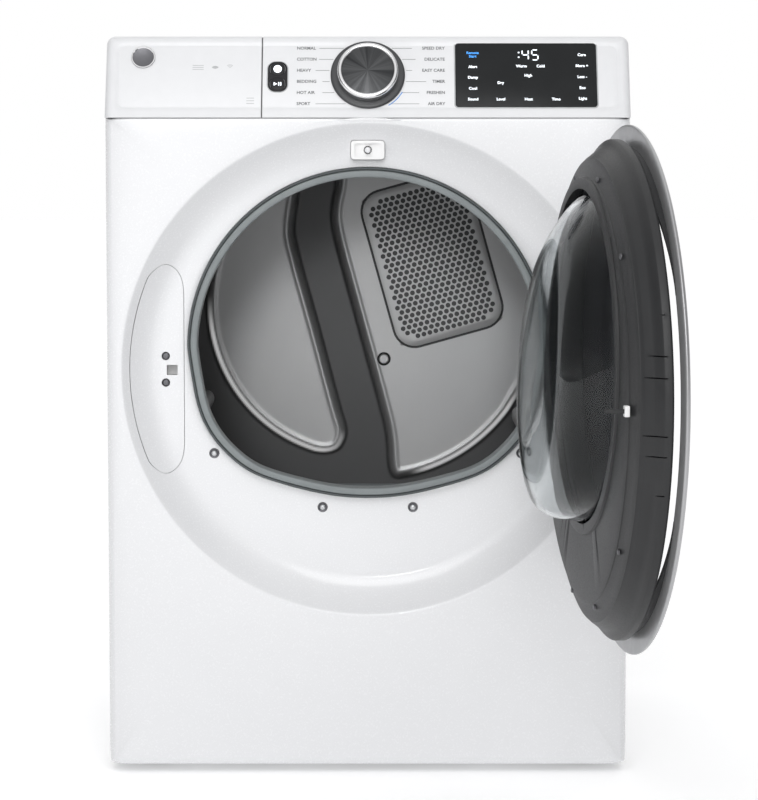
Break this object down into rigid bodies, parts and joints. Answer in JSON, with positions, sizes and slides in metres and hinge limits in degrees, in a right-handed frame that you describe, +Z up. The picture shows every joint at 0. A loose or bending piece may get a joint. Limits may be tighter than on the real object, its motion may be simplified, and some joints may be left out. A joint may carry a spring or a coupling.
{
  "type": "clothes dryer",
  "caption": "Full-size front-loading clothes dryer with a dished front, a round ring-handled door standing open, a tilted control console and a turning drum.",
  "frame": {"origin": "centre of the object's bounding box, open door included, at floor level", "axes": "+Z up, -Y out of the front of the cabinet towards the user, +Y towards the rear panel, +X to the right as seen from the front"},
  "size_m": [0.7288, 1.3766, 1.01],
  "materials": {
    "white_enamel": "gloss white enamel",
    "white_plastic": "satin moulded plastic",
    "fascia_white": "smooth white with grey print",
    "catch_white": "moulded acetal",
    "display_black": "polished black",
    "button_black": "satin black",
    "dial_ring": "fine-textured black",
    "knob_chrome": "bright ring with a dark spun face",
    "board_green": "solder mask",
    "seal_grey": "satin rubber",
    "filter_grey": "moulded frame",
    "dark_plastic": "moulded",
    "foot_plastic": "moulded",
    "drum_grey": "powder coated steel",
    "bulkhead_grey": "powder coated steel",
    "zinc_steel": "galvanised sheet",
    "bright_steel": "turned or plated",
    "motor_case": "cast and painted",
    "roller_rubber": "moulded tyre",
    "belt_rubber": "ribbed belt",
    "door_ring_grey": "satin dark grey",
    "door_dark": "moulded dark grey",
    "tinted_glass": "tinted, polished",
    "clear_glass": "clear, polished"
  },
  "bodies": {
    "cabinet": {"front_panel": "white_enamel", "left_side_panel": "white_enamel", "right_side_panel": "white_enamel", "top_panel": "white_enamel", "latch_plate": "white_enamel", "console_housing": "white_plastic", "door_switch_housing": "white_plastic", "fascia_left": "fascia_white", "fascia_right": "fascia_white", "door_catch": "catch_white", "display_lens": "display_black", "button_surround": "button_black", "dial_base_ring": "dial_ring", "control_board": "board_green", "door_seal": "seal_grey", "lint_duct": "dark_plastic", "blower_housing": "dark_plastic", "rear_bulkhead": "bulkhead_grey", "air_inlet_grille": "bulkhead_grey", "rear_panel": "zinc_steel", "base_pan": "zinc_steel", "front_bulkhead": "zinc_steel", "heater_housing": "zinc_steel", "exhaust_duct": "zinc_steel", "terminal_cover": "zinc_steel", "idler_bracket": "zinc_steel", "thermistor": "zinc_steel", "moisture_sensor": "zinc_steel", "panel_screw_1": "bright_steel", "panel_screw_2": "bright_steel", "panel_screw_3": "bright_steel", "panel_screw_4": "bright_steel", "hinge_leaf": "bright_steel", "motor": "motor_case", "drum_belt": "belt_rubber"},
    "door": {"door_ring": "door_ring_grey", "door_window": "tinted_glass", "door_inner_panel": "door_dark", "door_bowl": "clear_glass", "door_hook": "catch_white", "hinge_arm": "bright_steel"},
    "drum": {"drum": "drum_grey", "drum_baffle_1": "drum_grey", "drum_baffle_2": "drum_grey", "drum_baffle_3": "drum_grey"},
    "cycle_knob": {"cycle_knob": "knob_chrome"},
    "power_button": {"power_button": "button_black"},
    "start_button": {"start_button": "button_black"},
    "door_switch_button": {"door_switch_button": "catch_white"},
    "lint_filter": {"lint_filter": "filter_grey"},
    "motor_rotor": {"motor_pulley": "bright_steel", "blower_wheel": "dark_plastic"},
    "idler_arm": {"idler_arm": "zinc_steel"},
    "idler_pulley": {"idler_pulley": "dark_plastic"},
    "drum_roller_left": {"drum_roller_left": "roller_rubber"},
    "drum_roller_right": {"drum_roller_right": "roller_rubber"},
    "levelling_foot_1": {"levelling_foot_1": "foot_plastic"},
    "levelling_foot_2": {"levelling_foot_2": "foot_plastic"},
    "levelling_foot_3": {"levelling_foot_3": "foot_plastic"},
    "levelling_foot_4": {"levelling_foot_4": "foot_plastic"}
  },
  "joints": [
    {"name": "door_hinge", "type": "hinge", "parent": "cabinet", "child": "door", "pos_m": [0.2731, -0.0817, 0.5575], "axis": [0, 0, 1], "range_deg": [-97.2, 0]},
    {"name": "drum_spin", "type": "hinge", "parent": "cabinet", "child": "drum", "pos_m": [-0.0089, 0.3033, 0.6], "axis": [0, 1, 0], "continuous": true},
    {"name": "motor_spin", "type": "hinge", "parent": "cabinet", "child": "motor_rotor", "pos_m": [-0.1289, 0.3033, 0.135], "axis": [0, 1, 0], "continuous": true},
    {"name": "roller_left_spin", "type": "hinge", "parent": "cabinet", "child": "drum_roller_left", "pos_m": [-0.21717, 0.5373, 0.30257], "axis": [0, 1, 0], "continuous": true},
    {"name": "roller_right_spin", "type": "hinge", "parent": "cabinet", "child": "drum_roller_right", "pos_m": [0.19937, 0.5373, 0.30257], "axis": [0, 1, 0], "continuous": true},
    {"name": "idler_swing", "type": "hinge", "parent": "cabinet", "child": "idler_arm", "pos_m": [-0.2639, 0.4433, 0.115], "axis": [0, 1, 0], "range_deg": [-12, 0], "stiffness_Nm_per_rad": 3, "springref_deg": 8.59},
    {"name": "idler_spin", "type": "hinge", "parent": "idler_arm", "child": "idler_pulley", "pos_m": [-0.19595, 0.4433, 0.18565], "axis": [0, 1, 0], "continuous": true},
    {"name": "cycle_knob_turn", "type": "hinge", "parent": "cabinet", "child": "cycle_knob", "pos_m": [-0.0089, -0.01982, 0.95664], "axis": [0, -0.9063, 0.4226], "continuous": true},
    {"name": "power_button_press", "type": "slide", "parent": "cabinet", "child": "power_button", "axis": [0, 0.9063, -0.4226], "range_m": [0, 0.0015], "stiffness_N_per_m": 600},
    {"name": "start_button_press", "type": "slide", "parent": "cabinet", "child": "start_button", "axis": [0, 0.9063, -0.4226], "range_m": [0, 0.0015], "stiffness_N_per_m": 600},
    {"name": "door_switch_press", "type": "slide", "parent": "cabinet", "child": "door_switch_button", "axis": [0, 1, 0], "range_m": [0, 0.005], "stiffness_N_per_m": 300},
    {"name": "lint_filter_lift", "type": "slide", "parent": "cabinet", "child": "lint_filter", "axis": [0, 0, 1], "range_m": [0, 0.18]},
    {"name": "levelling_foot_1_screw", "type": "slide", "parent": "cabinet", "child": "levelling_foot_1", "axis": [0, 0, -1], "range_m": [0, 0.012]},
    {"name": "levelling_foot_2_screw", "type": "slide", "parent": "cabinet", "child": "levelling_foot_2", "axis": [0, 0, -1], "range_m": [0, 0.012]},
    {"name": "levelling_foot_3_screw", "type": "slide", "parent": "cabinet", "child": "levelling_foot_3", "axis": [0, 0, -1], "range_m": [0, 0.012]},
    {"name": "levelling_foot_4_screw", "type": "slide", "parent": "cabinet", "child": "levelling_foot_4", "axis": [0, 0, -1], "range_m": [0, 0.012]}
  ],
  "couplings": [
    {"joint": "motor_spin", "follows": "drum_spin", "ratio": 23.07},
    {"joint": "idler_spin", "follows": "drum_spin", "ratio": -14.891},
    {"joint": "roller_left_spin", "follows": "drum_spin", "ratio": -8.6667},
    {"joint": "roller_right_spin", "follows": "drum_spin", "ratio": -8.6667}
  ]
}
